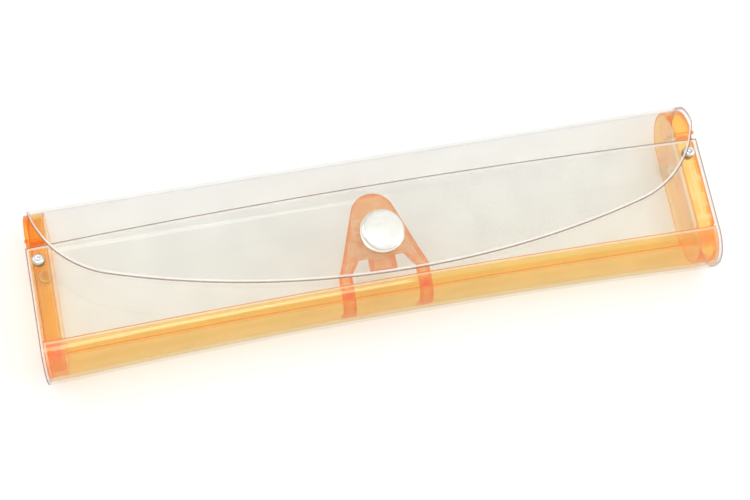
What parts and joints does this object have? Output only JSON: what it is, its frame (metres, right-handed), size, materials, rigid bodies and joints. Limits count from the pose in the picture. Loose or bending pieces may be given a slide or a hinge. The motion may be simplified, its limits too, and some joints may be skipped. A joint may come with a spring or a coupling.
{
  "type": "eyeglasses case",
  "caption": "Slim clear eyeglasses case: a wrapped transparent sheet with a curved snap-down flap, orange translucent end caps, bottom channel and snap tongue.",
  "frame": {"origin": "middle of the back face that the case lies on, under the middle of its box", "axes": "+X along the case to the right end as seen from the front, +Y from the bottom channel to the rounded top, +Z out of the back through the front panel"},
  "size_m": [0.152, 0.0386, 0.0209],
  "materials": {
    "clear_vinyl": "glossy clear flexible vinyl sheet with a slight grey tint",
    "orange_cap": "glossy translucent orange moulded plastic",
    "orange_channel": "glossy translucent light orange plastic",
    "orange_tongue": "glossy translucent orange plastic",
    "nickel": "polished nickel plate",
    "spring_steel": "drawn spring wire",
    "rivet_nickel": "bright nickel plate",
    "washer_steel": "plated steel"
  },
  "bodies": {
    "case": {"body_sheet": "clear_vinyl", "left_end_cap": "orange_cap", "right_end_cap": "orange_cap", "bottom_channel": "orange_channel", "snap_tongue": "orange_tongue", "snap_stud": "nickel", "stud_eyelet": "nickel", "front_left_rivet": "rivet_nickel", "front_right_rivet": "rivet_nickel", "back_left_rivet": "rivet_nickel", "back_right_rivet": "rivet_nickel", "front_left_washer": "washer_steel", "front_right_washer": "washer_steel", "back_left_washer": "washer_steel", "back_right_washer": "washer_steel"},
    "lid_top": {"lid_top_sheet": "clear_vinyl"},
    "flap": {"flap_sheet": "clear_vinyl", "snap_cap": "nickel", "snap_socket": "nickel", "socket_spring": "spring_steel"}
  },
  "joints": [
    {"name": "lid_open", "type": "hinge", "parent": "case", "child": "lid_top", "pos_m": [0, 0.0109, 0], "axis": [-1, 0, 0], "range_deg": [0, 105]},
    {"name": "flap_lift", "type": "hinge", "parent": "lid_top", "child": "flap", "pos_m": [0, 0.0109, 0.0168], "axis": [-1, 0, 0], "range_deg": [0, 75]}
  ]
}
